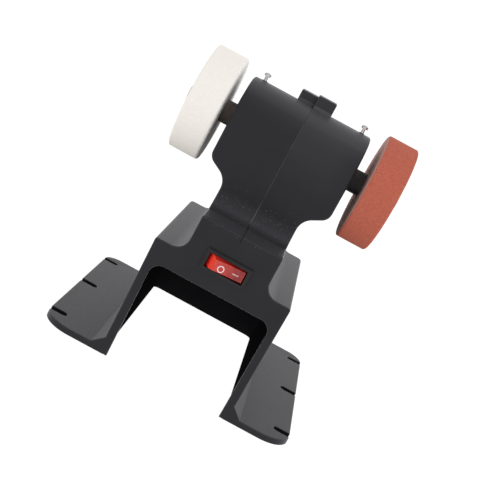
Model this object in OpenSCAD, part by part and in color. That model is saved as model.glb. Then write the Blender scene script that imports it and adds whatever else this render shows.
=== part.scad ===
// Mini bench grinder: a moulded stand with an arched front, a two-part body
// that clamps a small double-shaft motor, and a grinding wheel on each end.
// The bench is at z = 0, the front faces -Y, and +X is the viewer's right.
// Each module draws with its y counted rearward from the front panel, and
// place() then puts the middle of the whole object over the origin.

/* [Stand] */
// Width of the stand across its shoulders
stand_w = 95.4; // [90:0.2:104]
// How far each side wall leans in from shoulder to bench
side_lean = 1.3; // [0:0.1:2.4]
// Height of the shoulders above the bench
shoulder_h = 85.5; // [70:0.5:110]
// Depth of the stand at its shoulders
top_d = 149; // [135:1:165]
// Depth of the stand on the bench
foot_d = 188; // [175:1:205]
// Height of the plinth above the shoulders
plinth_h = 22.1; // [18:0.1:28]
// Wall of every moulded shell
wall = 2.4; // [2:0.1:3]
// Radius of the fillet between plinth and shoulder
plinth_r = 9; // [5:0.5:12]
// Radius along the outer edge of each shoulder
shoulder_r = 1.8; // [1:0.1:2.4]
// Height of the front panel above the arch, up to the shoulders
lintel_h = 14.9; // [13:0.1:24]
// Radius of the arch's upper corners
arch_r = 7.5; // [4:0.5:12]
// Width of the front face on each side of the arch
leg_w = 5.6; // [4.5:0.1:8]
// Gap between the front panel and the cover of the wiring bay
cover_gap = 3.4; // [2:0.1:6]

/* [Feet] */
// Width across both foot plates
foot_w = 178; // [160:1:196]
// Height of a foot plate's upper face
plate_h = 5; // [4:0.1:7]
// Radius of a foot plate's front corner
plate_front_r = 20; // [8:0.5:24]
// Radius of a foot plate's rear corner
plate_rear_r = 12.5; // [6:0.5:14]
// Width of the chamfer where a plate meets its side wall
gusset_w = 6.8; // [4:0.2:9]
// Height of that chamfer
gusset_h = 4.6; // [3:0.2:7]
// Width of the fixing slots
slot_w = 4; // [3:0.1:5]
// Length of the fixing slots, in from the plate's outer edge
slot_l = 10.8; // [8:0.2:14]
// Distance of the front slots from the front edge
slot_front = 19; // [17:0.5:24]
// Distance of the middle slots from the front edge
slot_mid = 99; // [80:1:110]
// Distance of the rear slots from the rear edge
slot_rear = 14.8; // [14:0.2:24]
// Radius of the rubber pads under the plates
pad_r = 7; // [5:0.5:9]
// Thickness of the rubber pads
pad_t = 2; // [1.6:0.1:2.6]
// How far the pads stand proud of the plates
pad_proud = 0.8; // [0.5:0.1:1]

/* [Body] */
// Width of the neck and of the plinth under it
neck_w = 56.4; // [52:0.2:60]
// Front of the neck, behind the front panel
neck_front = 40; // [36:0.5:44]
// Depth of the neck
neck_d = 58; // [54:0.5:62]
// Height of the ledge above the plinth
ledge_t = 3.8; // [3:0.1:6]
// Radius of the hollow between ledge and neck
ledge_r = 14; // [8:0.5:18]
// Radius along the front and rear edge of the ledge
ledge_edge_r = 2; // [1:0.1:2.4]
// Height of the motor axis above the ledge
axis_rise = 55.1; // [54:0.1:64]
// Diameter of the motor pod
pod_dia = 60; // [58:0.5:64]
// Length of the motor pod
pod_l = 87.4; // [84:0.2:94]
// Radius along the pod's round edges
pod_edge_r = 1.8; // [0.8:0.1:2.2]
// Outer radius where the pod turns in towards the neck
pod_turn_r = 7.5; // [5:0.5:9]
// Inner radius where the pod runs into the neck
neck_turn_r = 11.5; // [8:0.5:14]
// Height above the ledge at which that inner radius starts
neck_turn_rise = 12.6; // [10:0.1:14]
// Slope of the pod's underside
turn_slope = 28; // [22:1:34]
// Thickness of the body's floor
floor_t = 3; // [2.4:0.1:4]
// Width of the left clamping ear
ear_left_w = 11.8; // [9:0.2:14]
// Width of the right clamping ear
ear_right_w = 13.2; // [10:0.2:15]
// Height of the left ear above the pod
ear_left_h = 7.3; // [7:0.1:10]
// Height of the right ear above the pod
ear_right_h = 9.1; // [8:0.1:12]
// Depth of each ear
ear_d = 13; // [11:0.5:16]
// Diameter of the clamp screw through both ears
clamp_dia = 2.5; // [2:0.1:3]

/* [Motor] */
// Diameter of the motor can
can_dia = 42; // [38:0.5:43]
// Length of the motor can
can_l = 58; // [54:1:60]
// Wall of the motor can
can_t = 1.6; // [1.2:0.1:2]
// Diameter of the motor shaft
shaft_dia = 5; // [4:0.5:6]
// Outer diameter of the ball bearings
bearing_dia = 16; // [14:0.5:18]
// Width of the ball bearings
bearing_w = 5; // [4:0.5:5]
// Thickness of the magnets
magnet_t = 5; // [3.5:0.25:5.5]
// Gap between magnets and armature
air_gap = 0.6; // [0.4:0.1:1]
// Length of the armature's iron core
core_l = 28; // [24:1:30]
// Number of poles on the armature
poles = 5; // [3:1:7]
// Diameter of the commutator
comm_dia = 10; // [9:0.5:12]
// Thickness of the rubber rings round the motor
cushion_t = 1.6; // [1.2:0.1:2]

/* [Spindle] */
// Diameter of the arbor sleeves
arbor_dia = 16; // [14:0.5:18]
// Distance between the inner faces of the two wheels
wheel_gap = 105.4; // [103:0.2:112]
// How far both wheels sit to the right of the stand's middle
wheel_offset = 0.8; // [-1:0.1:1]
// Diameter of the arbor's seat in the wheel
seat_dia = 10; // [9:0.5:12]
// Diameter of the wheel bolts
bolt_dia = 6; // [5:0.5:6]
// Diameter of the set screws in the arbors
set_dia = 4; // [3:0.5:5]

/* [Wheels] */
// Diameter of the grinding wheels
wheel_dia = 75; // [65:1:80]
// Thickness of the grinding wheels
wheel_t = 21.8; // [18:0.2:25]
// Radius worn along the wheels' edges
wheel_edge_r = 1.6; // [0.8:0.1:2.4]

/* [Switch] */
// Width of the switch bezel
bezel_w = 31.4; // [30.5:0.1:33]
// Height of the switch bezel
bezel_h = 14.6; // [14:0.1:16]
// How far the bezel stands proud of the panel
bezel_t = 1.5; // [1.2:0.1:2]
// Width of the opening for the rocker
mouth_w = 26.2; // [25.8:0.1:27]
// Height of the opening for the rocker
mouth_h = 9.8; // [9.4:0.1:10.6]
// Height of the switch's centre above the shoulders
switch_rise = 3.3; // [1:0.1:6]
// Depth of the switch body behind the panel
switch_d = 16; // [15:0.5:18]
// Tilt of the rocker to each side of its middle
rocker_tilt = 14; // [10:0.5:14.5]
// Distance from the rocker's pivot to its face
rocker_reach = 9.6; // [9.2:0.1:9.8]
// Depth of the shallow V in the rocker's face
rocker_dip = 0.8; // [0.2:0.1:1.2]
// How much the rocker narrows towards its face, above and below
rocker_draft = 1; // [0.4:0.1:1.2]

/* [Power inlet] */
// Height of the inlet's centre above the shoulders
inlet_rise = 11.1; // [9.6:0.1:12]
// Diameter of the plug that the inlet takes
plug_dia = 5.5; // [5:0.1:6]
// Diameter of the inlet's threaded barrel
barrel_dia = 10.6; // [10:0.1:12]
// Depth of the inlet behind the rear panel
barrel_l = 13; // [11:0.5:15]
// Radius of the wires inside
wire_r = 1; // [0.7:0.1:1.2]

/* [Fasteners] */
// Diameter of the housing screws
screw_dia = 3; // [2.5:0.1:3.2]
// Diameter of the housing screws' heads
screw_head_dia = 5.4; // [5:0.1:6]
// Distance of the two upright screws on the pod from its middle
guard_x = 36.4; // [34:0.2:37]
// Diameter of those screws
guard_dia = 2.3; // [2:0.1:2.6]
// Diameter of their heads
guard_head_dia = 4.7; // [4.2:0.1:5.4]
// How far those screws stand above the pod
guard_proud = 5.8; // [4:0.2:7]

/* [Hidden] */

$fn = 64;
eps = 0.01;
fit = 0.05;        // radial clearance of a running or sliding fit
slack = 0.3;       // clearance round a part that drops into place
ends = [-1, 1];

// Heights, stacked from the shoulders up
arch_h = shoulder_h - lintel_h;
joint_h = shoulder_h + plinth_h;
ledge_h = joint_h + ledge_t;
neck_turn_h = ledge_h + neck_turn_rise;
axis_h = ledge_h + axis_rise;
switch_h = shoulder_h + switch_rise;
inlet_h = shoulder_h + inlet_rise;

// Stand
base_z = pad_proud;
axis_y = neck_front + neck_d / 2;
ear_root_z = axis_h + pod_dia / 2;
slope_run = foot_d - top_d;
function half_w(z) = stand_w / 2 - side_lean * (1 - z / shoulder_h);
function back_y(z) = foot_d - slope_run * z / shoulder_h;
function arch_half(z) = half_w(z) - leg_w;
slope_k = sqrt(1 + pow(slope_run / shoulder_h, 2));
function knee_z(i) = shoulder_h * (1 - i * (slope_k - 1) / slope_run);
cover_z = arch_h + 0.8;
cover_t = wall;
cover_sink = 1.4;  // how deep its screws' heads sit
post_h = shoulder_h - cover_z - cover_t - wall / 2;
cover_screw_l = cover_t - cover_sink + post_h - wall - 1.2;
post_r = 3.6;
post_x = stand_w / 2 - wall - post_r - 2;
post_front = wall + post_r + 4;
post_rear = back_y(cover_z + 12) - wall * slope_k - post_r - 2;
wire_hole_r = 8;

// Feet
slot_ys = [slot_front, slot_mid, foot_d - slot_rear];
pad_x = foot_w / 2 - slot_l - pad_r - 1;
pad_ys = [slot_front, foot_d - slot_rear - 3];

// Body
body_screw_x = neck_w / 2 - wall - 5.6;
body_screw_ys = [neck_front + 9.5, neck_front + neck_d - 9.5];
body_boss_r = 4;
body_boss_h = 6.4;   // above the body's floor
neck_screw_z = neck_turn_h - 1.5;
neck_screw_ys = [neck_front + 12, neck_front + neck_d - 12];
neck_screw_in = 11.2;  // how far the neck screws reach into the right half
neck_screw_sink = 2.6;
body_screw_in = 4.4;   // how far the body screws reach above the body's floor
head_h = 1.8;
turn_n = [sin(turn_slope), -cos(turn_slope)];
turn_in = [neck_w / 2 + neck_turn_r, neck_turn_h];
turn_out_x = pod_l / 2 - pod_turn_r;
turn_a = turn_in - neck_turn_r * turn_n;
turn_out_z = turn_a[1] + (turn_out_x + pod_turn_r * turn_n[0] - turn_a[0]) * tan(turn_slope)
             - pod_turn_r * turn_n[1];
turn_out = [turn_out_x, turn_out_z];
pod_r = pod_dia / 2;
guard_head_h = 2.3;
rib_t = 2.4;
rib_x = can_l / 2 - 6;
rib_bore_r = can_dia / 2 + cushion_t;
sleeve_hole_r = arbor_dia / 2 + 0.6;
ear_left_y = axis_y - 1;
ear_right_y = axis_y - 6.5;
ear_hole_y = (ear_left_y + ear_right_y + ear_d) / 2;
ear_hole_z = ear_root_z + min(ear_left_h, ear_right_h) / 2 + 0.2;
clamp_head_r = clamp_dia * 0.9;
clamp_head_h = clamp_dia * 0.6;
clamp_nut_t = clamp_dia * 0.8;
clamp_sink = 2.2;

// Motor, measured along X from its middle
can_end = can_l / 2;
cup_t = 1.2;
cup_r = bearing_dia / 2 + cup_t;
cup_end = can_end + bearing_w - 1;
bearing_in = cup_end - bearing_w;
ring_t = 1.4;
ball_r = (bearing_dia - shaft_dia) / 4 - ring_t + 0.55;
ball_path = (bearing_dia + shaft_dia) / 4;
cap_t = 5;
tab_y = 13;         // place of the motor's terminals beside and below its axis
tab_z = -8;
tab_l = 5;          // how far they stand out of the end cap
core_r = can_dia / 2 - can_t - magnet_t - air_gap;
core_x = -3;
pole_deg = 360 / poles;
hub_r = shaft_dia / 2 + 3;
web_t = 3.6;
mouth_t = 2;
tip_t = 2;
tip_r = core_r - tip_t;
comm_l = 9;
comm_x = core_x + core_l / 2 + 3.4;
brush_x = comm_x + comm_l / 2;
brush_l = 4.2;

// Spindle
function arbor_in(s) = cup_end + 1.4 + s * wheel_offset;
function wheel_in(s) = wheel_gap / 2 + s * wheel_offset;
function wheel_out(s) = wheel_in(s) + wheel_t;
function shaft_end(s) = wheel_in(s) + 3;
function set_x(s) = wheel_in(s) - 4.2;
bolt_l = 12;
washer_t = 1.2;
washer_r = 11;
bolt_head_r = bolt_dia * 0.92;
bolt_head_h = 2.6;

// Switch
pivot_y = rocker_reach - 3.75;
rocker_l = mouth_w - 5.8;
rocker_proud = rocker_l / 2 * sin(rocker_tilt) + rocker_reach * cos(rocker_tilt) - pivot_y;
pin_r = 1;
pin_l = 1.1;
rocker_h = mouth_h - 0.8;
terminal_x = 6.4;
blade_w = 4.8;
blade_t = 0.8;
blade_l = 8;

// Inlet
inlet_flange_r = barrel_dia / 2 + 1.6;
inlet_flange_t = 1.4;
inlet_nut_t = 2.4;
pin_dia = 2;
pin_tail = 2.4;     // behind the barrel
pin_sink = 2;       // short of the rear panel's face
wire_sides = 10;

module place() {
  translate([0, (rocker_proud - foot_d) / 2, 0]) children();
}

module place_axis() {
  place() translate([0, axis_y, axis_h]) children();
}

// A solid of revolution about the motor axis: its outline is drawn with
// x as the radius and y as the distance along +X
module spun() {
  rotate([0, 90, 0]) rotate_extrude() children();
}

// A disc or tube on the motor axis between two places
module ring(x0, x1, r, bore = 0) {
  translate([min(x0, x1), 0, 0]) rotate([0, 90, 0]) difference() {
    cylinder(h = abs(x1 - x0), r = r);
    if (bore > 0) translate([0, 0, -1]) cylinder(h = abs(x1 - x0) + 2, r = bore);
  }
}

// A rod that grows along +X
module rod_x(l, r) {
  rotate([0, 90, 0]) cylinder(h = l, r = r);
}

// A rod that grows along +Y
module rod_y(l, r) {
  rotate([-90, 0, 0]) cylinder(h = l, r = r);
}

// An outline in x and z drawn through a stretch of depth
module through_y(y0, y1) {
  translate([0, y1, 0]) rotate([90, 0, 0]) linear_extrude(y1 - y0) children();
}

// An outline in y and z drawn through a stretch of width
module through_x(x0, x1) {
  translate([x0, 0, 0]) rotate([90, 0, 90]) linear_extrude(x1 - x0) children();
}

// Stand

// Front outline of the stand, drawn in by i
module stand_front(i) {
  difference() {
    polygon([[-half_w(0) + i, -2], [half_w(0) - i, -2],
             [half_w(shoulder_h) - i, shoulder_h - i],
             [-half_w(shoulder_h) + i, shoulder_h - i]]);
    for (s = ends) shoulder_round(s, i);
  }
  difference() {
    translate([-neck_w / 2 - plinth_r, shoulder_h - i - 2])
      square([neck_w + 2 * plinth_r, joint_h - shoulder_h + 2]);
    for (s = ends) translate([s * (neck_w / 2 + plinth_r), shoulder_h + plinth_r]) {
      circle(plinth_r + i);
      translate([s > 0 ? -plinth_r - i : -joint_h, 0])
        square([plinth_r + i + joint_h, joint_h]);
    }
  }
}

module shoulder_round(s, i) {
  r = max(shoulder_r - i, 0.2);
  x = half_w(shoulder_h) - i - r;
  z = shoulder_h - i - r;
  difference() {
    translate([s > 0 ? x : -x - 2 * r, z]) square(2 * r);
    translate([s * x, z]) circle(r);
  }
}

// Side outline of the stand, drawn in by i
module stand_side(i) {
  polygon([[i, -2], [back_y(-2) - i * slope_k, -2], [top_d - i, knee_z(i)],
           [top_d - i, joint_h - i], [i, joint_h - i]]);
}

module stand_form(i) {
  intersection() {
    through_y(-1, foot_d + 3) stand_front(i);
    through_x(-stand_w, stand_w) stand_side(i);
  }
}

module arch_outline() {
  z1 = arch_h - arch_r;
  polygon([[-arch_half(0), -2], [arch_half(0), -2], [arch_half(z1), z1], [-arch_half(z1), z1]]);
  translate([-arch_half(z1) + arch_r, z1 - 1])
    square([2 * (arch_half(z1) - arch_r), arch_r + 1]);
  for (s = ends) translate([s * (arch_half(z1) - arch_r), z1]) circle(arch_r);
}

module foot_outline(s) {
  x0 = stand_w / 2 - side_lean - wall;
  x1 = foot_w / 2;
  difference() {
    union() {
      scale([s, 1]) translate([x0, 0]) square([x1 - x0 - plate_front_r, foot_d]);
      scale([s, 1]) translate([x0, plate_front_r])
        square([x1 - x0, foot_d - plate_front_r - plate_rear_r]);
      scale([s, 1]) translate([x0, foot_d / 2]) square([x1 - x0 - plate_rear_r, foot_d / 2]);
      translate([s * (x1 - plate_front_r), plate_front_r]) circle(plate_front_r);
      translate([s * (x1 - plate_rear_r), foot_d - plate_rear_r]) circle(plate_rear_r);
    }
    for (y = slot_ys) {
      translate([s * (x1 - slot_l + slot_w / 2), y]) circle(slot_w / 2);
      scale([s, 1]) translate([x1 - slot_l + slot_w / 2, y - slot_w / 2])
        square([slot_l, slot_w]);
    }
  }
}

module foot_plate(s) {
  difference() {
    translate([0, 0, base_z]) linear_extrude(plate_h - base_z) foot_outline(s);
    for (y = pad_ys) translate([s * pad_x, y, base_z - 1])
      cylinder(h = 1 + pad_t - pad_proud, r = pad_r + fit);
  }
}

module gusset(s) {
  z1 = plate_h + gusset_h;
  x1 = half_w(plate_h) + gusset_w;
  intersection() {
    through_x(-foot_w, foot_w) stand_side(0);
    through_y(0, foot_d) scale([s, 1])
      polygon([[half_w(base_z) - wall, base_z], [x1, base_z], [x1, plate_h],
               [half_w(z1), z1], [half_w(z1) - wall, z1]]);
  }
}

module cover_posts() {
  for (s = ends) for (y = [post_front, post_rear])
    translate([s * post_x, y, cover_z + cover_t]) difference() {
      cylinder(h = post_h, r = post_r);
      translate([0, 0, -1]) cylinder(h = 1 + post_h - wall, r = screw_dia / 2);
    }
}

module stand_shell() {
  color("#2b2b2d") place() {
    difference() {
      union() {
        difference() {
          stand_form(0);
          stand_form(wall);
          through_y(-2, wall + 1) arch_outline();
        }
        cover_posts();
        for (s = ends) foot_plate(s);
        difference() {
          for (s = ends) gusset(s);
          stand_form(wall);
        }
      }
      translate([-foot_w, -9, -20]) cube([2 * foot_w, foot_d + 20, 20 + base_z]);
      // switch window
      translate([-mouth_w / 2 - 0.9, -1, switch_h - mouth_h / 2 - 0.9])
        cube([mouth_w + 1.8, wall + 2, mouth_h + 1.8]);
      // inlet hole
      translate([0, top_d - wall - 1, inlet_h]) rod_y(wall + 2, barrel_dia / 2 + fit);
      // wire hole and the holes for the body screws
      translate([0, axis_y, joint_h - wall - 1]) cylinder(h = wall + 2, r = wire_hole_r);
      for (s = ends) for (y = body_screw_ys)
        translate([s * body_screw_x, y, joint_h - wall - 1])
          cylinder(h = wall + 2, r = screw_dia / 2 + 0.2);
    }
  }
}

module bay_cover() {
  y0 = wall + cover_gap;
  x1 = half_w(cover_z) - wall - slack;
  color("#232325") place() difference() {
    translate([-x1, y0, cover_z])
      cube([2 * x1, back_y(cover_z + cover_t) - wall * slope_k - slack - y0, cover_t]);
    for (s = ends) for (y = [post_front, post_rear]) translate([s * post_x, y, cover_z - 1]) {
      cylinder(h = cover_t + 2, r = screw_dia / 2 + 0.2);
      cylinder(h = 1 + cover_sink, r = screw_head_dia / 2 + slack);
    }
    // cooling slots
    for (k = [-3:3]) translate([k * 8 - 1.5, foot_d / 2 - 26, cover_z - 1])
      cube([3, 34, cover_t + 2]);
  }
}

// A pan-head screw standing on its tip, with its head upward
module pan_screw(l, d, head_d, head_h) {
  cylinder(h = l + eps, r = d / 2);
  translate([0, 0, l]) difference() {
    union() {
      cylinder(h = head_h * 0.55, r = head_d / 2);
      translate([0, 0, head_h * 0.55]) intersection() {
        cylinder(h = head_h * 0.45, r = head_d / 2);
        translate([0, 0, -head_d * 0.72]) sphere(r = head_d * 0.72 + head_h * 0.45);
      }
    }
    for (a = [0, 90]) rotate(a) translate([-head_d * 0.3, -head_d * 0.06, head_h * 0.5])
      cube([head_d * 0.6, head_d * 0.12, head_h]);
  }
}

module bay_cover_screws() {
  color("silver") place() for (s = ends) for (y = [post_front, post_rear])
    translate([s * post_x, y, cover_z + cover_sink + cover_screw_l]) rotate([180, 0, 0])
      pan_screw(cover_screw_l, screw_dia - 2 * fit, screw_head_dia, head_h);
}

module foot_pads() {
  color("#151515") place() for (s = ends) for (y = pad_ys)
    translate([s * pad_x, y, 0]) cylinder(h = pad_t, r = pad_r);
}

// Body

// Half of the body's front outline, drawn in by i
module body_front_half(i) {
  ci = neck_turn_r + i;
  co = pod_turn_r - i;
  p_in = turn_in - ci * turn_n;
  p_out = turn_out + co * turn_n;
  translate([0, joint_h - 1]) square([neck_w / 2 - i, neck_turn_h + 1 - joint_h]);
  difference() {
    polygon([[0, neck_turn_h], turn_in, p_in, p_out, turn_out, [0, turn_out[1]]]);
    translate(turn_in) circle(ci);
  }
  translate(turn_out) circle(co);
  translate([0, turn_out[1] - 1]) square([turn_out[0], 1 + axis_h + pod_dia - turn_out[1]]);
  translate([0, turn_out[1]]) square([pod_l / 2 - i, axis_h + pod_dia - turn_out[1]]);
}

// Side outline of neck and ledge, drawn in by i
module neck_side(i) {
  y0 = neck_front;
  y1 = neck_front + neck_d;
  translate([y0 + i, joint_h - 1]) square([neck_d - 2 * i, axis_h - joint_h + 1]);
  difference() {
    translate([i, joint_h - 1]) square([top_d - 2 * i, ledge_h - i - joint_h + 1]);
    if (i == 0) {
      ledge_round(0, 1);
      ledge_round(top_d, -1);
    }
  }
  ledge_hollow(y0 + i, -1, i);
  ledge_hollow(y1 - i, 1, i);
}

module ledge_round(y, s) {
  r = ledge_edge_r;
  difference() {
    translate([s > 0 ? y - 1 : y - r, ledge_h - r]) square([r + 1, r + 1]);
    translate([y + s * r, ledge_h - r]) circle(r);
  }
}

module ledge_hollow(y, s, i) {
  r = ledge_r + i;
  difference() {
    translate([s > 0 ? y - 1 : y - r, ledge_h - i - 1]) square([r + 1, r + 1]);
    translate([y + s * r, ledge_h - i + r]) circle(r);
  }
}

// The motor pod, drawn in by i
module pod_form(i) {
  r = pod_r - i;
  h = pod_l / 2 - i;
  e = max(pod_edge_r - i, 0.3);
  translate([0, axis_y, axis_h]) spun() {
    translate([0, -h + e]) square([r, 2 * (h - e)]);
    translate([0, -h]) square([r - e, 2 * h]);
    for (s = ends) translate([r - e, s * (h - e)]) circle(e);
  }
}

module body_form(i) {
  intersection() {
    through_y(-1, foot_d) {
      body_front_half(i);
      mirror([1, 0]) body_front_half(i);
    }
    union() {
      pod_form(i);
      through_x(-pod_l, pod_l) neck_side(i);
    }
  }
}

// A ring rib that holds the motor by its rubber ring
module motor_rib(s) {
  difference() {
    translate([0, axis_y, axis_h])
      ring(s * (rib_x - rib_t / 2), s * (rib_x + rib_t / 2), pod_r - wall / 2, rib_bore_r);
    // a notch under the motor for the leads
    translate([-pod_l, axis_y - 8, axis_h - pod_dia]) cube([2 * pod_l, 16, pod_dia - rib_bore_r + 4]);
  }
}

// The ears stand at different depths, so each laps past the other
module ear(s) {
  w = s < 0 ? ear_left_w : ear_right_w;
  h = s < 0 ? ear_left_h : ear_right_h;
  y = s < 0 ? ear_left_y : ear_right_y;
  drop = pod_r - sqrt(pow(pod_r, 2) - pow(ear_d, 2)) + 0.6;
  translate([s < 0 ? -w : 0, y, ear_root_z - drop]) cube([w, ear_d, h + drop]);
}

// Everything one half has inside, seen from the seam at x = 0
module half_inside(s) {
  difference() {
    intersection() {
      union() {
        motor_rib(s);
        for (y = body_screw_ys) translate([s * body_screw_x, y, joint_h])
          cylinder(h = floor_t + body_boss_h, r = body_boss_r);
        for (y = neck_screw_ys) translate([s < 0 ? -neck_w / 2 : 0, y, neck_screw_z])
          rod_x(neck_w / 2, 3.4);
        translate([s * guard_x, axis_y, axis_h + pod_r - wall - 3])
          cylinder(h = wall + 2, r = 3);
      }
      body_form(wall / 2);
    }
    translate([0, axis_y, axis_h]) ring(s * (rib_x - 12), s * (rib_x + 12), rib_bore_r);
  }
}

module body_half(s) {
  color("#2d2d2f") place() difference() {
    union() {
      difference() {
        intersection() {
          body_form(0);
          translate([s < 0 ? -pod_l : 0, -5, joint_h]) cube([pod_l, foot_d, pod_dia * 3]);
        }
        intersection() {
          body_form(wall);
          translate([-pod_l, -5, joint_h + floor_t]) cube([2 * pod_l, foot_d, pod_dia * 3]);
        }
      }
      half_inside(s);
      ear(s);
      // raised rims round the two upright screws
      translate([s * guard_x, axis_y, axis_h + pod_r - 1]) cylinder(h = 1.3, r = guard_dia / 2 + 1.2);
    }
    translate([0, axis_y, axis_h]) ring(0, s * pod_l, sleeve_hole_r);
    translate([0, axis_y, joint_h - 1]) cylinder(h = floor_t + 2, r = wire_hole_r);
    for (y = body_screw_ys) translate([s * body_screw_x, y, joint_h - 1])
      cylinder(h = 1 + floor_t + body_boss_h - 1.2, r = screw_dia / 2);
    for (y = neck_screw_ys) neck_screw_bore(s, y);
    clamp_bore(s);
    translate([s * guard_x, axis_y, axis_h + pod_r - wall - 2.4])
      cylinder(h = wall + 6, r = guard_dia / 2 + eps);
  }
}

// Across both ears, with the head sunk in the left one and the nut in the right one
module clamp_bore(s) {
  translate([0, ear_hole_y, ear_hole_z]) {
    translate([-ear_left_w - 1, 0, 0])
      rod_x(ear_left_w + ear_right_w + 2, clamp_dia / 2 + 0.1);
    if (s < 0) translate([-ear_left_w - 1, 0, 0]) rod_x(1 + clamp_sink, clamp_head_r + 0.2);
    if (s > 0) translate([ear_right_w - clamp_sink, 0, 0]) rotate([0, 90, 0])
      cylinder(h = clamp_sink + 1, r = clamp_head_r + 0.25, $fn = 6);
  }
}

// Through the left half with a sunk head, and blind in the right half
module neck_screw_bore(s, y) {
  translate([0, y, neck_screw_z]) {
    if (s < 0) {
      translate([-pod_l / 2, 0, 0]) rod_x(pod_l / 2 + 1, screw_dia / 2 + 0.2);
      translate([-pod_l / 2, 0, 0])
        rod_x(pod_l / 2 - neck_w / 2 + neck_screw_sink, screw_head_dia / 2 + slack);
    } else {
      translate([-1, 0, 0]) rod_x(1 + neck_screw_in + 0.8, screw_dia / 2);
    }
  }
}

module left_body_half() {
  body_half(-1);
}

module right_body_half() {
  body_half(1);
}

module ear_screw() {
  tip_x = ear_right_w - 0.4;
  color("silver") place() translate([tip_x, ear_hole_y, ear_hole_z]) rotate([0, -90, 0])
    pan_screw(tip_x + ear_left_w - clamp_sink, clamp_dia, 2 * clamp_head_r, clamp_head_h);
}

module ear_nut() {
  color("silver") place() translate([ear_right_w - clamp_sink, ear_hole_y, ear_hole_z])
    difference() {
      rotate([0, 90, 0]) cylinder(h = clamp_nut_t, r = clamp_head_r, $fn = 6);
      translate([-1, 0, 0]) rod_x(clamp_nut_t + 2, clamp_dia / 2 + fit);
    }
}

module neck_screws() {
  color("silver") place() for (y = neck_screw_ys)
    translate([neck_screw_in, y, neck_screw_z]) rotate([0, -90, 0])
      pan_screw(neck_w / 2 - neck_screw_sink + neck_screw_in,
                screw_dia - 2 * fit, screw_head_dia, head_h);
}

module body_screws() {
  l = wall + floor_t + body_screw_in;
  color("silver") place() for (s = ends) for (y = body_screw_ys)
    translate([s * body_screw_x, y, joint_h - wall + l]) rotate([180, 0, 0])
      pan_screw(l, screw_dia - 2 * fit, screw_head_dia, head_h);
}

module guard_screws() {
  l = guard_proud - guard_head_h + wall + 2;
  color("silver") place() for (s = ends)
    translate([s * guard_x, axis_y, axis_h + pod_r + guard_proud - guard_head_h - l])
      pan_screw(l, guard_dia, guard_head_dia, guard_head_h);
}

// Motor

// A drawn steel tube closed on the left, with a cup for the bearing
module motor_can() {
  color("#8c8f93") place_axis() difference() {
    union() {
      ring(-can_end, can_end, can_dia / 2);
      ring(-cup_end, -can_end, cup_r);
    }
    ring(-can_end + can_t, can_end + 1, can_dia / 2 - can_t);
    ring(-cup_end - eps, -bearing_in, bearing_dia / 2 + eps);
    ring(-can_end - 1, can_end, shaft_dia / 2 + 1.4);
    // cooling windows
    for (a = [45, 135, 225, 315]) rotate([a, 0, 0])
      translate([-can_end - 1, -3, can_dia / 2 - 8]) cube([can_t + 2, 6, 4]);
    // notches that key the end cap
    for (a = [0, 180]) rotate([a, 0, 0])
      translate([can_end - 2, -3, can_dia / 2 - can_t - 1]) cube([3, 6, can_t + 2]);
  }
}

module motor_end_cap() {
  color("#1d1d1f") place_axis() difference() {
    union() {
      ring(can_end - cap_t, can_end, can_dia / 2 - can_t - fit);
      ring(can_end - 1, cup_end, cup_r);
      for (a = [0, 180]) rotate([a, 0, 0])
        translate([can_end - 2 + fit, -3 + fit, 0]) cube([2 - fit, 6 - 2 * fit, can_dia / 2]);
    }
    ring(bearing_in, cup_end + 1, bearing_dia / 2 + eps);
    ring(can_end - cap_t - 1, cup_end, shaft_dia / 2 + 1.4);
    for (s = ends)
      translate([can_end - cap_t - 1, s * tab_y - blade_w / 2 - fit, tab_z - blade_t / 2 - fit])
        cube([cap_t + 2, blade_w + 2 * fit, blade_t + 2 * fit]);
  }
}

module motor_magnets() {
  r1 = can_dia / 2 - can_t - fit;
  r0 = core_r + air_gap;
  color("#4a4a4d") place_axis() for (s = ends) intersection() {
    ring(core_x - core_l / 2 - 1.5, core_x + core_l / 2 + 1.5, r1, r0);
    translate([-can_l, s > 0 ? 1 : -can_dia - 1, -can_dia * 0.33])
      cube([2 * can_l, can_dia, can_dia * 0.66]);
  }
}

module motor_cushions() {
  color("#17171a") place_axis() for (s = ends)
    ring(s * (rib_x - 3), s * (rib_x + 3), rib_bore_r - fit, can_dia / 2 + fit);
}

// Both races carry a groove for the balls
module race(x, r1, r0) {
  difference() {
    ring(x, x + bearing_w, r1, r0);
    translate([x + bearing_w / 2, 0, 0]) spun() translate([ball_path, 0]) circle(ball_r + fit, $fn = 32);
  }
}

module bearing_outer_rings() {
  color("#b9bcc0") place_axis() for (x = [-cup_end, bearing_in])
    race(x, bearing_dia / 2, bearing_dia / 2 - ring_t);
}

module bearing_inner_rings() {
  color("#b9bcc0") place_axis() for (x = [-cup_end, bearing_in])
    race(x, shaft_dia / 2 + ring_t, shaft_dia / 2 + eps);
}

module bearing_balls() {
  color("#d8dadd") place_axis() for (x = [-cup_end, bearing_in]) for (k = [0:6])
    rotate([k * 360 / 7, 0, 0]) translate([x + bearing_w / 2, 0, ball_path])
      sphere(r = ball_r, $fn = 24);
}

// A drum with a ring of pockets round its hub, parted by the poles' webs,
// and a narrow mouth out of each pocket
module armature_core() {
  x0 = core_x - core_l / 2;
  x1 = core_x + core_l / 2;
  color("#7c7f83") place_axis() difference() {
    ring(x0, x1, core_r, shaft_dia / 2 + eps);
    difference() {
      ring(x0 - 1, x1 + 1, tip_r, hub_r);
      for (k = [0:poles - 1]) rotate([k * pole_deg, 0, 0])
        translate([x0 - 2, -web_t / 2, hub_r / 2]) cube([core_l + 4, web_t, core_r]);
    }
    for (k = [0:poles - 1]) rotate([(k + 0.5) * pole_deg, 0, 0])
      translate([x0 - 1, -mouth_t / 2, tip_r - 1]) cube([core_l + 2, mouth_t, 2 * tip_t]);
  }
}

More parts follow.
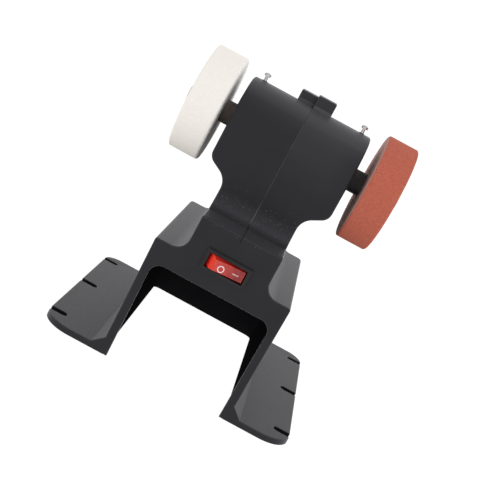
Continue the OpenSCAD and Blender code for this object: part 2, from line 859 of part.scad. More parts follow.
// One coil on each pole, bulging past both ends of the core
module armature_windings() {
  coil_in = hub_r + 1.6;
  coil_w = 2 * coil_in * tan(pole_deg / 2) - 0.8;
  coil_l = core_l + 5;
  h = sqrt(pow(tip_r, 2) - pow(coil_w / 2, 2)) - coil_in - 0.3;
  color("#b5652b") place_axis() for (k = [0:poles - 1]) rotate([k * pole_deg, 0, 0])
    translate([core_x, 0, coil_in]) difference() {
      translate([-coil_l / 2, -coil_w / 2, 0]) cube([coil_l, coil_w, h]);
      translate([-core_l / 2 - fit, -web_t / 2 - fit, -1])
        cube([core_l + 2 * fit, web_t + 2 * fit, h + 2]);
    }
}

module commutator() {
  color("#c98a4a") place_axis() difference() {
    ring(comm_x, comm_x + comm_l, comm_dia / 2, shaft_dia / 2 + eps);
    for (k = [0:poles - 1]) rotate([(k + 0.5) * pole_deg, 0, 0])
      translate([comm_x - 1, -0.2, comm_dia / 2 - 1]) cube([comm_l + 2, 0.4, 2]);
  }
}

module motor_shaft() {
  color("#c5c8cc") place_axis() ring(-shaft_end(-1), shaft_end(1), shaft_dia / 2);
}

module carbon_brushes() {
  color("#2a2a2c") place_axis() for (s = ends)
    translate([brush_x - 2, s > 0 ? comm_dia / 2 + fit : -comm_dia / 2 - fit - brush_l, -1.5])
      cube([4, brush_l, 3]);
}

// Brass boxes that guide the brushes and hang from the end cap
module brush_holders() {
  y0 = comm_dia / 2 + 1.2;
  x1 = can_end - cap_t;
  color("#b08d45") place_axis() for (s = ends) difference() {
    translate([brush_x - 3, s > 0 ? y0 : -y0 - brush_l - 1, -2.5])
      cube([x1 - brush_x + 3, brush_l + 1, 5]);
    translate([brush_x - 2 - fit, s > 0 ? y0 - 1 : -y0 - brush_l, -1.5 - fit])
      cube([4 + 2 * fit, brush_l + 1, 3 + 2 * fit]);
  }
}

module motor_terminals() {
  color("#b9bcc0") place_axis() for (s = ends)
    translate([can_end - cap_t, s * tab_y - blade_w / 2, tab_z - blade_t / 2])
      cube([cap_t + tab_l, blade_w, blade_t]);
}

// Spindle

// A sleeve on the motor shaft with a shoulder and a seat for the wheel
module arbor(s) {
  seat_end = wheel_out(s) - 0.6;
  difference() {
    union() {
      ring(s * arbor_in(s), s * wheel_in(s), arbor_dia / 2);
      ring(s * (wheel_in(s) - 1), s * seat_end, seat_dia / 2 - 0.02);
    }
    ring(s * (arbor_in(s) - 1), s * shaft_end(s), shaft_dia / 2 + eps);
    ring(s * (seat_end - bolt_l), s * (seat_end + 1), bolt_dia / 2);
    translate([s * set_x(s), 0, 0]) rotate([-30, 0, 0]) cylinder(h = arbor_dia, r = set_dia / 2);
  }
}

module left_arbor() {
  color("#3a322b") place_axis() arbor(-1);
}

module right_arbor() {
  color("#3a322b") place_axis() arbor(1);
}

module arbor_set_screws() {
  color("#2c2c2e") place_axis() for (s = ends)
    translate([s * set_x(s), 0, 0]) rotate([-30, 0, 0])
      translate([0, 0, shaft_dia / 2 + eps]) difference() {
        cylinder(h = (arbor_dia - shaft_dia) / 2 - 0.6, r = set_dia / 2 - eps);
        translate([0, 0, 3]) cylinder(h = 10, r = set_dia / 4, $fn = 6);
      }
}

// A bonded wheel with softened edges and a plain bore
module wheel(s) {
  e = wheel_edge_r;
  r = wheel_dia / 2;
  x0 = s > 0 ? wheel_in(s) : -wheel_out(s);
  spun() difference() {
    translate([0, x0]) union() {
      translate([0, e]) square([r, wheel_t - 2 * e]);
      square([r - e, wheel_t]);
      for (x = [e, wheel_t - e]) translate([r - e, x]) circle(e, $fn = 32);
    }
    translate([-1, x0 - 1]) square([1 + seat_dia / 2, wheel_t + 2]);
  }
}

module white_wheel() {
  color("#efebe6") place_axis() wheel(-1);
}

module red_wheel() {
  color("#c0604c") place_axis() wheel(1);
}

module wheel_washers() {
  color("silver") place_axis() for (s = ends)
    ring(s * wheel_out(s), s * (wheel_out(s) + washer_t), washer_r, bolt_dia / 2 + 0.2);
}

module wheel_bolt(s) {
  head_in = wheel_out(s) + washer_t;
  difference() {
    union() {
      ring(s * (head_in - bolt_l), s * head_in, bolt_dia / 2 - eps);
      ring(s * head_in, s * (head_in + bolt_head_h - 0.6), bolt_head_r);
      ring(s * (head_in + 1), s * (head_in + bolt_head_h), bolt_head_r - 0.6);
    }
    translate([s * (head_in + bolt_head_h + 1), 0, 0]) rotate([0, s > 0 ? -90 : 90, 0])
      cylinder(h = 3.2, r = bolt_dia / 3, $fn = 6);
  }
}

module left_wheel_bolt() {
  color("silver") place_axis() wheel_bolt(-1);
}

module right_wheel_bolt() {
  color("silver") place_axis() wheel_bolt(1);
}

// Switch

module switch_at() {
  place() translate([0, 0, switch_h]) children();
}

module switch_frame() {
  w = mouth_w + 1.8 - 2 * fit;
  h = mouth_h + 1.8 - 2 * fit;
  color("#1a1a1b") switch_at() difference() {
    union() {
      // bezel with a bevelled edge
      through_y(-bezel_t * 0.5, 0) square([bezel_w, bezel_h], center = true);
      through_y(-bezel_t, 0) square([bezel_w - 1, bezel_h - 1], center = true);
      translate([-w / 2, -eps, -h / 2]) cube([w, switch_d, h]);
      // snap tongues behind the panel
      for (s = ends) translate([s > 0 ? w / 2 - 1 : -w / 2 - 0.7, wall + 0.1, -3]) cube([1.7, 3, 6]);
    }
    translate([-mouth_w / 2, -bezel_t - 1, -mouth_h / 2])
      cube([mouth_w, bezel_t + 1 + switch_d - 2, mouth_h]);
    translate([0, pivot_y, -bezel_h / 2]) cylinder(h = bezel_h, r = pin_r + fit);
    for (s = ends) translate([s * terminal_x - blade_t / 2 - fit, switch_d - 3, -blade_w / 2 - fit])
      cube([blade_t + 2 * fit, 4, blade_w + 2 * fit]);
  }
}

// Section of the rocker about its pivot, upright before it is tilted
module rocker_outline() {
  a = rocker_l / 2;
  f = rocker_reach;
  polygon([[-a, -f], [0, -f + rocker_dip], [a, -f], [a + 1.4, -f + 4], [a + 2.3, -f + 7.6],
           [a + 1, 1.8], [a - 3.2, 3.4], [-a + 3.2, 3.4], [-a - 1, 1.8],
           [-a - 2.3, -f + 7.6], [-a - 1.4, -f + 4]]);
}

// Height of the rocker along its depth, narrower towards the face
module rocker_taper() {
  h = rocker_h / 2;
  f = rocker_reach;
  polygon([[-f - 0.5, rocker_draft - h], [-f + 4.6, -h], [5, -h],
           [5, h], [-f + 4.6, h], [-f - 0.5, h - rocker_draft]]);
}

module switch_rocker() {
  color("#c9302a") switch_at() translate([0, pivot_y, 0]) {
    rotate([0, 0, rocker_tilt]) intersection() {
      translate([0, 0, -rocker_h / 2]) linear_extrude(rocker_h) rocker_outline();
      through_x(-mouth_w, mouth_w) rocker_taper();
    }
    translate([0, 0, -rocker_h / 2 - pin_l]) cylinder(h = rocker_h + 2 * pin_l, r = pin_r);
  }
}

module switch_terminals() {
  color("#c9a24b") switch_at() for (s = ends)
    translate([s * terminal_x - blade_t / 2, switch_d - 2, -blade_w / 2])
      cube([blade_t, blade_l + 2, blade_w]);
}

// Power inlet

module inlet_at() {
  place() translate([0, top_d, inlet_h]) children();
}

module inlet_barrel() {
  color("#1c1c1e") inlet_at() difference() {
    union() {
      rod_y(inlet_flange_t, inlet_flange_r);
      translate([0, -barrel_l, 0]) rod_y(barrel_l + eps, barrel_dia / 2);
    }
    translate([0, -barrel_l + 3, 0]) rod_y(barrel_l + 4, plug_dia / 2 + 0.15);
    translate([0, -barrel_l - 1, 0]) rod_y(5, pin_dia / 2 + eps);
  }
}

module inlet_nut() {
  color("silver") inlet_at() translate([0, -wall - inlet_nut_t, 0]) difference() {
    rotate([-90, 0, 0]) cylinder(h = inlet_nut_t, r = barrel_dia / 2 + 2, $fn = 6);
    translate([0, -1, 0]) rod_y(inlet_nut_t + 2, barrel_dia / 2 + fit);
  }
}

module inlet_pin() {
  color("gold") inlet_at() translate([0, -barrel_l - pin_tail, 0])
    rod_y(barrel_l + pin_tail - pin_sink, pin_dia / 2);
}

// Directions along a route: each point's is the mean of the stretches that meet there
function unit(v) = v / norm(v);
function along(p, k) =
  unit((k > 0 ? unit(p[k] - p[k - 1]) : [0, 0, 0])
       + (k < len(p) - 1 ? unit(p[k + 1] - p[k]) : [0, 0, 0]));

// A side direction carried from point to point, so the wire doesn't twist
function side(p, k) =
  let (t = along(p, k), last = k > 0 ? side(p, k - 1) : [0.31, 0.17, 0.94])
  unit(last - (last * t) * t);

function wire_ring(p, k) =
  let (t = along(p, k), a = side(p, k), b = cross(t, a))
  [for (i = [0:wire_sides - 1])
    p[k] + wire_r * (cos(i * 360 / wire_sides) * a + sin(i * 360 / wire_sides) * b)];

// A wire laid through a list of points
module lead(p, c) {
  n = len(p);
  m = wire_sides;
  color(c) polyhedron(
    points = [for (k = [0:n - 1]) each wire_ring(p, k)],
    faces = concat(
      [[for (i = [0:m - 1]) i]],
      [[for (i = [m - 1:-1:0]) (n - 1) * m + i]],
      [for (k = [0:n - 2]) for (i = [0:m - 1])
        let (a = k * m + i, b = k * m + (i + 1) % m) [b, a, a + m]],
      [for (k = [0:n - 2]) for (i = [0:m - 1])
        let (a = k * m + (i + 1) % m, b = k * m + i + m) [a, b, a + m]]));
}

// The ends run straight, so that they meet the terminals squarely
module power_leads() {
  blade_y = switch_d + blade_l + fit;
  jack_y = top_d - barrel_l - fit;
  under_z = axis_h - can_dia / 2 - 2.6 - wire_r;
  term_x = can_end + tab_l + wire_r + fit;
  term_z = axis_h + tab_z;
  place() {
    lead([[-terminal_x, blade_y, switch_h], [-terminal_x, blade_y + 4, switch_h],
          [-terminal_x, blade_y + 12, switch_h + 3], [-3, jack_y - 18, inlet_h],
          [0, jack_y - 8, inlet_h], [0, jack_y - pin_tail, inlet_h]], "#a02020");
    lead([[terminal_x, blade_y, switch_h], [terminal_x, blade_y + 4, switch_h],
          [terminal_x, blade_y + 9, switch_h + 4], [4, axis_y - 4, joint_h - 8],
          [4, axis_y - 3, joint_h + 8], [4, axis_y - 3, under_z - 4],
          [9, axis_y - 3, under_z], [can_end + 2, axis_y - 4, under_z],
          [term_x, axis_y - tab_y, under_z + 6], [term_x, axis_y - tab_y, term_z]], "#a02020");
    lead([[4, jack_y, inlet_h + 3], [4, jack_y - 5, inlet_h + 3],
          [2, jack_y - 14, inlet_h + 2], [-3, axis_y + 6, joint_h - 6],
          [0, axis_y + 4, joint_h + 4], [4, axis_y + 3, joint_h + 12],
          [4, axis_y + 3, under_z - 4], [9, axis_y + 3, under_z],
          [can_end + 2, axis_y + 4, under_z], [term_x, axis_y + tab_y, under_z + 6],
          [term_x, axis_y + tab_y, term_z]], "#202020");
  }
}

stand_shell();
bay_cover();
bay_cover_screws();
foot_pads();
left_body_half();
right_body_half();
ear_screw();
ear_nut();
neck_screws();
body_screws();
guard_screws();
motor_can();
motor_end_cap();
motor_magnets();
motor_cushions();
bearing_outer_rings();
bearing_inner_rings();
bearing_balls();
armature_core();
armature_windings();
commutator();
motor_shaft();
brush_holders();
carbon_brushes();
motor_terminals();
left_arbor();
right_arbor();
arbor_set_screws();
white_wheel();
red_wheel();
wheel_washers();
left_wheel_bolt();
right_wheel_bolt();
switch_frame();
switch_rocker();
switch_terminals();
inlet_barrel();
inlet_nut();
inlet_pin();
power_leads();
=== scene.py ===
# Looks of the mini bench grinder: camera, light, floor, materials and the pieces
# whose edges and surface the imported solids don't hold.
# The scene is in metres, and the sizes named here are in mm unless a comment says otherwise.
# The front faces -Y, +X is the viewer's right, and the bench is at z = 0.
import math

import bmesh
import bpy
from mathutils import Matrix, Vector
from mathutils.bvhtree import BVHTree


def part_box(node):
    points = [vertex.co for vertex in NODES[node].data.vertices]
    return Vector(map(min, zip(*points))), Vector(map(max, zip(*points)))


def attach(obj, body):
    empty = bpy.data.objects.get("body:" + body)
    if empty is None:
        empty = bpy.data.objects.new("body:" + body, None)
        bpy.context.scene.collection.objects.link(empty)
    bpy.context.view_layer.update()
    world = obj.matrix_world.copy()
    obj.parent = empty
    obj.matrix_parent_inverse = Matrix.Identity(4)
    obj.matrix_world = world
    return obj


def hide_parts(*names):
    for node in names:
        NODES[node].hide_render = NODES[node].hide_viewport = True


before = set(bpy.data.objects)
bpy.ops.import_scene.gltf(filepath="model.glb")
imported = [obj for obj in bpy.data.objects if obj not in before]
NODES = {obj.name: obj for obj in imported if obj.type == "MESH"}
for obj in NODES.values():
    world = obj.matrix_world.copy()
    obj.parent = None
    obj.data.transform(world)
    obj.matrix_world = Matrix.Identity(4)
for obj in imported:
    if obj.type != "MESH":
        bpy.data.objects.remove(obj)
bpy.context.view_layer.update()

MM = 0.001


# Sizes that the frame gives

def box_mm(node):
    """A node's lowest and highest corners at rest, to a thousandth of a mm."""
    return [[round(c / MM, 3) for c in corner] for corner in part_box(node)]


STAND_LOW, STAND_HIGH = box_mm("stand_shell")
BEARINGS_LOW, BEARINGS_HIGH = box_mm("bearing_outer_rings")
FRONT = STAND_LOW[1]                # the front panel, from which depths count
FOOT_HALF, REAR, JOINT_Z = STAND_HIGH       # JOINT_Z is where the body stands on the stand
FOOT_D = REAR - FRONT
AXIS_DEPTH = (BEARINGS_LOW[1] + BEARINGS_HIGH[1]) / 2 - FRONT
AXIS_Z = (BEARINGS_LOW[2] + BEARINGS_HIGH[2]) / 2

# Sizes of the CAD model that no box gives

WALL = 2.4
PLATE_Z = 5                         # the foot plates' upper face
CORNER_R = 20                       # the plates' front corners, in plan
SHOULDER_Z = 85.5
SHOULDER_HALF = 47.7
SHOULDER_D = 149
SIDE_LEAN = 1.3                     # each side wall leans out by this much, bench to shoulder
PLINTH_HALF = 28.2                  # the narrow part between shoulder and body
PLINTH_R = 9                        # its concave foot
SLOT_R = 2.0                        # the foot plates' fixing slots
SLOT_L = 10.8
CHAMFER_ON_PLATE = (53.28, 5.0)     # x and z of the chamfer between plate and side wall
CHAMFER_ON_WALL = (46.57, 9.58)
ARCH_HALF = 43                      # just outside the outline of the arch
ARCH_Z = 72
POD_END = 43                        # just inside the pod's two end faces
ARBOR_HOLE_R = 15                   # outside the arbors' holes in them
RIM_R = 36                          # just inside the wheels' rims
BODY_Z = JOINT_Z + 0.4              # just above the joint
SEAM_X = 0.2                        # just beside the body's seam
NEAR = 0.05                         # how close a vertex lies to where it is looked for

# Sizes of the photographed stand that the CAD model doesn't share

PHOTO_CHAMFER_X = 54.0              # on the plate
PHOTO_CHAMFER_Z = 11.8              # on the side wall
# A slot's depth in the CAD model, then its depth, half width and length in the photograph
SLOTS = ((19, 20, 3.1, 12.0), (99, 100, 3.1, 12.7), (173.2, 172.9, 2.4, 11.8))
SLOT_REACH = 3.2                    # just more than the widest slot's half width
REAR_R = 4.0                        # the upright rear corners, outside and in the hollow
REAR_HOLLOW_R = 4.5

# Which of its moulding's materials a face has, where it isn't the first

# the rounded edges take a paler, shinier black: a painted highlight along them
EDGES = 1
# the darker inner black of the hidden faces is painted shade
INSIDE = 2                          # on the stand
SEAM = 2                            # on the body


# Scene helpers

def add_object(name, data):
    made = bpy.data.objects.new(name, data)
    bpy.context.scene.collection.objects.link(made)
    return made


def mesh_from(bm, name, *materials):
    mesh = bpy.data.meshes.new(name)
    bm.to_mesh(mesh)
    bm.free()
    for m in materials:
        mesh.materials.append(m)
    return mesh


# Camera, at the photograph's viewing angle

CAMERA_AT = Vector((-1.47, FRONT - 621.22, 246.345)) * MM
PITCH_DOWN = math.radians(12.478)
YAW = math.radians(0.094)
ROLL = math.radians(28.458)
SENSOR_MM = 36.0
LENS_MM = 77.62
HALF_PIXEL = 0.5 / 480              # as a share of the picture's width


def make_camera():
    forward = Vector((math.sin(YAW) * math.cos(PITCH_DOWN),
                      math.cos(YAW) * math.cos(PITCH_DOWN),
                      -math.sin(PITCH_DOWN)))
    level_right = forward.cross(Vector((0, 0, 1))).normalized()
    level_up = level_right.cross(forward)
    right = level_right * math.cos(ROLL) + level_up * math.sin(ROLL)
    up = level_up * math.cos(ROLL) - level_right * math.sin(ROLL)
    data = bpy.data.cameras.new("camera")
    data.sensor_width = SENSOR_MM
    data.lens = LENS_MM
    data.shift_x = -HALF_PIXEL
    data.shift_y = HALF_PIXEL
    data.clip_start = 0.01
    data.clip_end = 20.0
    camera = add_object("camera", data)
    turn = Matrix((right, up, -forward)).transposed().to_4x4()
    camera.matrix_world = Matrix.Translation(CAMERA_AT) @ turn
    bpy.context.scene.camera = camera


# Node helpers

def new_material(name, colour, roughness, metallic=0.0, specular=0.5):
    m = bpy.data.materials.new(name)
    m.use_nodes = True
    shader = m.node_tree.nodes["Principled BSDF"]
    shader.inputs["Base Color"].default_value = (*colour, 1)
    shader.inputs["Roughness"].default_value = roughness
    shader.inputs["Metallic"].default_value = metallic
    shader.inputs["Specular IOR Level"].default_value = specular
    m.diffuse_color = (*colour, 1)
    return m, m.node_tree, shader


def coords(tree, stretch=None):
    """The piece's own coordinates in metres, stretched where a finish has a direction."""
    out = tree.nodes.new("ShaderNodeTexCoord").outputs["Object"]
    if stretch is None:
        return out
    n = tree.nodes.new("ShaderNodeVectorMath")
    n.operation = "MULTIPLY"
    n.inputs[1].default_value = stretch
    tree.links.new(out, n.inputs[0])
    return n.outputs[0]


def axis_part(tree, vector, axis):
    n = tree.nodes.new("ShaderNodeSeparateXYZ")
    tree.links.new(vector, n.inputs[0])
    return n.outputs[axis]


def along(tree, axis):
    """The place on the piece along one axis, in metres."""
    return axis_part(tree, coords(tree), axis)


def facing(tree, axis):
    """How far the surface faces along one axis, from -1 to 1."""
    normal = tree.nodes.new("ShaderNodeNewGeometry").outputs["Normal"]
    return axis_part(tree, normal, axis)


def noise(tree, per_m, detail=2.0, rough=0.5, stretch=None):
    n = tree.nodes.new("ShaderNodeTexNoise")
    n.inputs["Scale"].default_value = per_m
    n.inputs["Detail"].default_value = detail
    n.inputs["Roughness"].default_value = rough
    tree.links.new(coords(tree, stretch), n.inputs["Vector"])
    return n.outputs["Fac"]


def cells(tree, per_m, output="Distance"):
    n = tree.nodes.new("ShaderNodeTexVoronoi")
    n.inputs["Scale"].default_value = per_m
    tree.links.new(coords(tree), n.inputs["Vector"])
    return n.outputs[output]


def cell_numbers(tree, per_m):
    """Three random numbers from 0 to 1 for each cell."""
    n = tree.nodes.new("ShaderNodeSeparateColor")
    tree.links.new(cells(tree, per_m, "Color"), n.inputs[0])
    return n.outputs


def spread(tree, value, low, high, to_low=0.0, to_high=1.0):
    n = tree.nodes.new("ShaderNodeMapRange")
    n.inputs["From Min"].default_value = low
    n.inputs["From Max"].default_value = high
    n.inputs["To Min"].default_value = to_low
    n.inputs["To Max"].default_value = to_high
    tree.links.new(value, n.inputs["Value"])
    return n.outputs["Result"]


def between(tree, place, start_mm, end_mm, to_start=0.0, to_end=1.0):
    """From one value to another between two places in mm, either of which may be the lower."""
    return spread(tree, place, start_mm * MM, end_mm * MM, to_start, to_end)


def combine(tree, operation, a, b=0):
    n = tree.nodes.new("ShaderNodeMath")
    n.operation = operation
    for i, v in enumerate((a, b)):
        if isinstance(v, (int, float)):
            n.inputs[i].default_value = v
        else:
            tree.links.new(v, n.inputs[i])
    return n.outputs[0]


def tint(tree, amount, a, b):
    """A colour between a and b, each a colour or another node's output."""
    n = tree.nodes.new("ShaderNodeMix")
    n.data_type = "RGBA"
    tree.links.new(amount, n.inputs["Factor"])
    colour_a, colour_b, colour_out = 6, 7, 2
    for i, v in ((colour_a, a), (colour_b, b)):
        if isinstance(v, tuple):
            n.inputs[i].default_value = (*v, 1)
        else:
            tree.links.new(v, n.inputs[i])
    return n.outputs[colour_out]


def bump(tree, shader, height, depth_mm):
    n = tree.nodes.new("ShaderNodeBump")
    n.inputs["Strength"].default_value = 1.0
    n.inputs["Distance"].default_value = depth_mm * MM
    tree.links.new(height, n.inputs["Height"])
    tree.links.new(n.outputs["Normal"], shader.inputs["Normal"])


# Light and floor, with sizes in metres

SKY_STRENGTH = 1.42
LAMP_AT = Vector((0.35, -0.2, 1.1))
LAMP_AIM = Vector((0, 0, 0.1))
LAMP_WIDTH = 0.9
LAMP_WATTS = 2.1
FLOOR_HALF = 6


def make_sky():
    """Brightest near the horizon behind the object, darkest overhead."""
    near, far, overhead = (0.77, 0.77, 0.78), (1.0, 1.0, 1.01), (0.48, 0.48, 0.49)
    world = bpy.data.worlds.new("studio")
    bpy.context.scene.world = world
    world.use_nodes = True
    tree = world.node_tree
    sky = tree.nodes["Background"]
    direction = tree.nodes.new("ShaderNodeTexCoord").outputs["Generated"]
    behind = spread(tree, axis_part(tree, direction, "Y"), -0.2, 0.8)
    high = spread(tree, axis_part(tree, direction, "Z"), 0.15, 0.9)
    horizon = tint(tree, behind, near, far)
    tree.links.new(tint(tree, high, horizon, overhead), sky.inputs["Color"])
    sky.inputs["Strength"].default_value = SKY_STRENGTH


def make_lamp():
    lamp = bpy.data.lights.new("overhead", "AREA")
    lamp.shape = "DISK"
    lamp.size = LAMP_WIDTH
    lamp.energy = LAMP_WATTS
    light = add_object("overhead", lamp)
    light.location = LAMP_AT
    light.rotation_euler = (LAMP_AIM - LAMP_AT).to_track_quat("-Z", "Y").to_euler()


def make_floor():
    """A floor that glows white, as the photograph's ground does."""
    m, tree, shader = new_material("pale_floor", (0.1, 0.1, 0.1), 0.9, specular=0.0)
    shader.inputs["Emission Color"].default_value = (1, 1, 1, 1)
    shader.inputs["Emission Strength"].default_value = 1.0
    bm = bmesh.new()
    bmesh.ops.create_grid(bm, x_segments=2, y_segments=2, size=FLOOR_HALF)
    floor = add_object("floor", mesh_from(bm, "floor", m))


# Moulded plastic

PLATE_FADE_Z = (8, 30)                   # heights between which the foot plates' smaller share of the pale tint and weaker sheen end


def dust_and_crease_highlight(tree, base, crease, height, dust):
    """Dust on what faces up, least on the foot plates and most in the crease below the neck,
    where the paler tint is dust and painted highlight both.
    """
    # in the crease the paler tint is both dust and a painted highlight
    dust_and_highlight_share = spread(tree, combine(tree, "ADD", crease, 0.45), 0.0, 1.45)
    # less of the paler tint low down, on the foot plates
    plate_share = between(tree, height, *PLATE_FADE_Z, 0.62, 1.0)
    dust_and_highlight_share = combine(tree, "MULTIPLY", dust_and_highlight_share, plate_share)
    lying = combine(tree, "MULTIPLY", dust_and_highlight_share, spread(tree, facing(tree, "Z"), 0.1, 0.75))
    patches = spread(tree, noise(tree, 35, 3), 0.2, 0.8, 0.7, 1.0)
    patchy = combine(tree, "MULTIPLY", lying, patches)
    return tint(tree, patchy, base, (dust + 0.0125, dust + 0.0115, dust + 0.0150))


def pod_painted_light(tree, base, height):
    """Painted light on the pod: a painted highlight over its right half, a brighter painted
    highlight on its crown, and a paler black on the ears, painted reflection.
    """
    across = along(tree, "X")
    # painted highlight: a soft pale patch on the upper right half of the pod
    right_half = combine(tree, "MULTIPLY", between(tree, across, 0.2, 1.2),
                         between(tree, across, 43, 28))
    painted_highlight = combine(tree, "MULTIPLY", right_half, between(tree, height, 146, 184))
    base = tint(tree, painted_highlight, base, (0.024, 0.024, 0.026))
    # painted highlight along the pod's crown
    crown = between(tree, height, 186, 196.5)
    base = tint(tree, crown, base, (0.058, 0.058, 0.060))
    # painted reflection: the ears a paler black than the pod, without the crown's highlight
    ear = combine(tree, "GREATER_THAN", height, 198.5 * MM)
    return tint(tree, ear, base, (0.021, 0.021, 0.0225))


def specks(tree, base, crease):
    """Pale specks of dust, close together in the crease and rare elsewhere."""
    per_m = 620
    chance, size, tone = cell_numbers(tree, per_m)
    chosen = combine(tree, "GREATER_THAN", chance, spread(tree, crease, 0.0, 0.7, 0.999, 0.2))
    inside = combine(tree, "LESS_THAN", cells(tree, per_m), spread(tree, size, 0, 1, 0.1, 0.36))
    pale = tint(tree, tone, (0.028, 0.028, 0.027), (0.062, 0.061, 0.057))
    return tint(tree, combine(tree, "MULTIPLY", inside, chosen), base, pale)


def moulded_black(name, level=0.88, shine=0.28, rough=0.46, dust=0.017):
    """Black plastic from a spark-eroded mould: fine grain, and unless dust is 0, dust and painted
    light: a painted highlight in the crease and on the pod.
    """
    m, tree, shader = new_material(name, (0.012 * level,) * 3, rough, specular=shine)
    mottle = spread(tree, noise(tree, 60, 2), 0.3, 0.7)
    base = tint(tree, mottle, (0.0105 * level, 0.0105 * level, 0.0118 * level),
                (0.0130 * level, 0.0130 * level, 0.0146 * level))
    if dust:
        height = along(tree, "Z")
        crease = combine(tree, "MULTIPLY", between(tree, height, 109, 114),
                         between(tree, height, 134, 122))
        base = dust_and_crease_highlight(tree, base, crease, height, dust)
        # painted highlights on the pod, and a paler black on its ears, painted reflection
        base = pod_painted_light(tree, base, height)
        base = specks(tree, base, crease)
        sheen = between(tree, height, *PLATE_FADE_Z, 0.02, 0.065)
        tree.links.new(sheen, shader.inputs["Sheen Weight"])
        shader.inputs["Sheen Tint"].default_value = (0.91, 0.90, 1.0, 1)
        shader.inputs["Sheen Roughness"].default_value = 0.3
    tree.links.new(base, shader.inputs["Base Color"])
    worn = spread(tree, noise(tree, 500, 2), 0.25, 0.75, rough - 0.02, rough + 0.02)
    tree.links.new(worn, shader.inputs["Roughness"])
    shader.inputs["Specular Tint"].default_value = (0.94, 0.92, 1.0, 1)
    bump(tree, shader, noise(tree, 1500, 2, 0.6), 0.018)
    return m


def parting_line(name):
    """The seam's line, paler than the plastic: palest below the neck, a painted highlight, and
    black on the ledge, painted shade.
    """
    m, tree, shader = new_material(name, (0.05, 0.05, 0.052), 0.4, specular=0.3)
    fade_in = spread(tree, noise(tree, 110, 2), 0.3, 0.7)
    line = tint(tree, fade_in, (0.040, 0.040, 0.041), (0.070, 0.069, 0.066))
    height = along(tree, "Z")
    # painted highlight: the seam palest in the crease below the neck
    crease = combine(tree, "MULTIPLY", between(tree, height, 113.5, 116),
                     between(tree, height, 130, 119))
    line = tint(tree, crease, line, (0.13, 0.127, 0.116))
    # painted shade: the seam black where it crosses the ledge
    on_ledge = between(tree, height, 114.5, 112.5)
    tree.links.new(tint(tree, on_ledge, line, (0.012, 0.012, 0.012)), shader.inputs["Base Color"])
    return m


def gloss_black(name):
    m, tree, shader = new_material(name, (0.012, 0.0122, 0.0128), 0.32, specular=0.25)
    swirl = spread(tree, noise(tree, 160, 3), 0.3, 0.7, 0.26, 0.36)
    tree.links.new(swirl, shader.inputs["Roughness"])
    bump(tree, shader, noise(tree, 700, 2), 0.004)
    return m


# Clear red plastic

def rocker_red():
    """Clear red plastic with painted light: painted highlight on the left half and its raised
    end, painted shade on the right half and the sides, and down in the mouth a purer red and an
    emission, both painted light."""
    m, tree, shader = new_material("rocker_red", (0.5, 0.03, 0.02), 0.2, specular=0.4)
    across, depth = along(tree, "X"), along(tree, "Y")
    rightward = between(tree, across, -8, 9)
    left_end = spread(tree, facing(tree, "X"), -0.3, -0.75)
    sides = spread(tree, combine(tree, "ABSOLUTE", facing(tree, "Z")), 0.1, 0.6)
    sunk = between(tree, depth, FRONT - 1.5, FRONT + 1.5)
    # painted light: paler across the left half, darker across the right
    shade = tint(tree, rightward, (0.60, 0.042, 0.026), (0.16, 0.007, 0.007))
    # painted highlight on the raised left end
    shade = tint(tree, left_end, shade, (0.86, 0.06, 0.03))
    # painted shade on the cap's top and bottom sides
    side_shade = tint(tree, rightward, (0.42, 0.010, 0.008), (0.15, 0.004, 0.003))
    shade = tint(tree, sides, shade, side_shade)
    # painted light: a purer red down in the mouth, against its shade
    shade = tint(tree, sunk, shade, (0.62, 0.012, 0.012))
    cloudy = spread(tree, noise(tree, 500, 3), 0.35, 0.75, 0.0, 0.16)
    tree.links.new(tint(tree, cloudy, shade, (0.80, 0.13, 0.09)), shader.inputs["Base Color"])
    # painted light: the cap gives off red light down in the mouth, though it is no lamp
    painted_glow = combine(tree, "MULTIPLY", between(tree, depth, FRONT - 4.5, FRONT - 1.0, 0, 0.18),
                   between(tree, across, -9, 6, 1, 0.3))
    tree.links.new(painted_glow, shader.inputs["Emission Strength"])
    shader.inputs["Emission Color"].default_value = (0.75, 0.012, 0.012, 1)
    shader.inputs["Subsurface Weight"].default_value = 0.2
    shader.inputs["Subsurface Radius"].default_value = (0.004, 0.0008, 0.0006)
    shader.inputs["Subsurface Scale"].default_value = 0.5
    shader.inputs["Coat Weight"].default_value = 0.12
    shader.inputs["Coat Roughness"].default_value = 0.12
    bump(tree, shader, noise(tree, 350, 2), 0.01)
    return m


# White ink

def printed_white():
    m, tree, shader = new_material("printed_white", (0.80, 0.66, 0.66), 0.35)
    thin = spread(tree, noise(tree, 900, 2), 0.3, 0.7)
    ink = tint(tree, thin, (0.74, 0.56, 0.57), (0.86, 0.74, 0.74))
    tree.links.new(ink, shader.inputs["Base Color"])
    return m


# Bonded abrasive

def abrasive(name, light, mid, dark, grain_per_m, depth_mm, motor_side, inner_face, outer_face):
    """Open grit: pale and dark grains with pits between them. The flat faces get tones set apart
    from the grit's, and motor_side is the sign of X on which the motor stands."""
    m, tree, shader = new_material(name, mid, 0.92, specular=0.15)
    grain = cell_numbers(tree, grain_per_m)[0]
    grit = tint(tree, spread(tree, grain, 0.15, 0.85), dark, light)
    clouds = spread(tree, noise(tree, 60, 3), 0.25, 0.75, 0.2, 0.9)
    tone = tint(tree, clouds, mid, grit)
    sideways = facing(tree, "X")
    # a face's tone replaces the grit's; on the white wheel's motor side it is painted light
    for sign, face_tone in ((motor_side, inner_face), (-motor_side, outer_face)):
        flat = spread(tree, sideways, 0.8 * sign, 0.99 * sign, 0, 0.85)
        tone = tint(tree, flat, tone, face_tone)
    tree.links.new(tone, shader.inputs["Base Color"])
    bump(tree, shader, noise(tree, grain_per_m * 0.8, 3, 0.6), depth_mm)
    return m


# Metals, and what is pressed, sintered or wound

